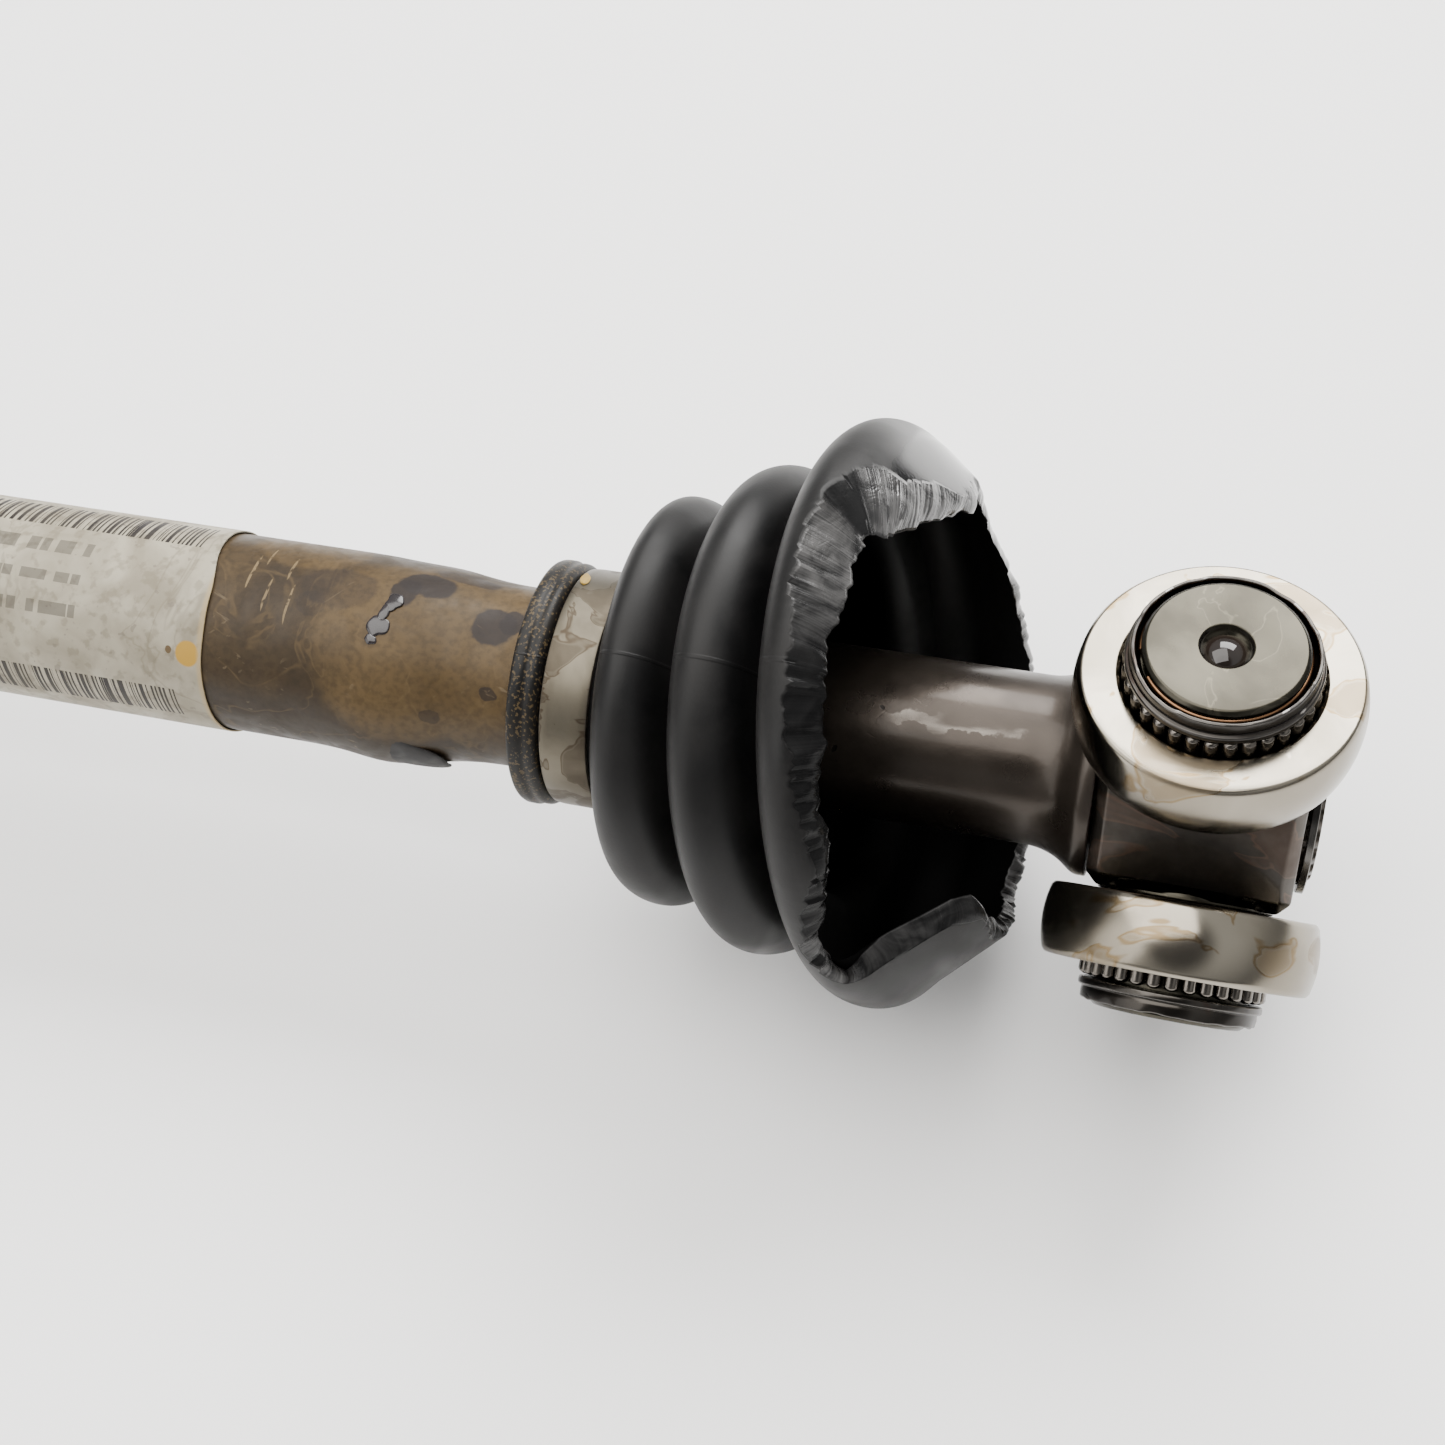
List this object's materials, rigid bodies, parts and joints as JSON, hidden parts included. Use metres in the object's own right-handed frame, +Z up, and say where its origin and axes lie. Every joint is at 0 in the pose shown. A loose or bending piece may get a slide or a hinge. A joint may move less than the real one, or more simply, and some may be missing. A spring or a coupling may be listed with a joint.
{
  "type": "cv axle",
  "caption": "Front-wheel half-shaft: tubular shaft with a roller tripod at the gearbox end, bellows boots, and a ball joint with a splined stub at the wheel end.",
  "frame": {"origin": "middle of the overall length, on the shaft's axis", "axes": "+X along the shaft towards the gearbox end (tripod), -X towards the wheel end (splined stub), +Z up along the first tripod arm"},
  "size_m": [0.6226, 0.0884, 0.0884],
  "materials": {
    "painted_tube": "dark brown paint, worn, oily",
    "oiled_steel": "oily dark forged and machined steel",
    "polished_steel": "ground bearing steel, stained with old grease",
    "dark_steel": "dark spring steel",
    "copper_wash": "spring wire with a copper wash",
    "clamp_steel": "dull plated band, stained",
    "boot_rubber": "black satin rubber",
    "label_paper": "dirty off-white paper"
  },
  "bodies": {
    "shaft": {"shaft": "painted_tube", "shaft_label": "label_paper", "tripod_circlip": "dark_steel", "tripod_spider": "oiled_steel", "roller_retainer_1": "dark_steel", "roller_retainer_2": "dark_steel", "roller_retainer_3": "dark_steel", "snap_ring_1": "copper_wash", "snap_ring_2": "copper_wash", "snap_ring_3": "copper_wash", "gearbox_boot": "boot_rubber", "gearbox_boot_clamp": "clamp_steel", "inner_race": "oiled_steel", "inner_race_circlip": "dark_steel", "wheel_boot": "boot_rubber", "wheel_boot_small_clamp": "clamp_steel"},
    "bell": {"bell": "oiled_steel", "wheel_boot_large_clamp": "clamp_steel"},
    "cage": {"cage": "oiled_steel", "ball_1": "polished_steel", "ball_2": "polished_steel", "ball_3": "polished_steel", "ball_4": "polished_steel", "ball_5": "polished_steel", "ball_6": "polished_steel"},
    "needles_1": {"needle_rollers_1": "polished_steel"},
    "roller_1": {"roller_1": "polished_steel"},
    "needles_2": {"needle_rollers_2": "polished_steel"},
    "roller_2": {"roller_2": "polished_steel"},
    "needles_3": {"needle_rollers_3": "polished_steel"},
    "roller_3": {"roller_3": "polished_steel"}
  },
  "joints": [
    {"name": "bell_swing", "type": "hinge", "parent": "shaft", "child": "bell", "pos_m": [-0.19733, 0, 0], "axis": [0, 1, 0], "range_deg": [-43, 43], "deforming": ["wheel_boot"]},
    {"name": "cage_swing", "type": "hinge", "parent": "shaft", "child": "cage", "pos_m": [-0.19733, 0, 0], "axis": [0, 1, 0], "range_deg": [-21.5, 21.5]},
    {"name": "needles_1_spin", "type": "hinge", "parent": "shaft", "child": "needles_1", "pos_m": [0.29267, 0, 0], "axis": [0, 0, 1], "continuous": true},
    {"name": "roller_1_slide", "type": "slide", "parent": "needles_1", "child": "roller_1", "axis": [0, 0, 1], "range_m": [0, 0.0022]},
    {"name": "needles_2_spin", "type": "hinge", "parent": "shaft", "child": "needles_2", "pos_m": [0.29267, 0, 0], "axis": [0, -0.866, -0.5], "continuous": true},
    {"name": "roller_2_slide", "type": "slide", "parent": "needles_2", "child": "roller_2", "axis": [0, -0.866, -0.5], "range_m": [0, 0.0022]},
    {"name": "needles_3_spin", "type": "hinge", "parent": "shaft", "child": "needles_3", "pos_m": [0.29267, 0, 0], "axis": [0, 0.866, -0.5], "continuous": true},
    {"name": "roller_3_slide", "type": "slide", "parent": "needles_3", "child": "roller_3", "axis": [0, 0.866, -0.5], "range_m": [0, 0.0022]}
  ],
  "couplings": [
    {"joint": "cage_swing", "follows": "bell_swing", "ratio": 0.5}
  ]
}
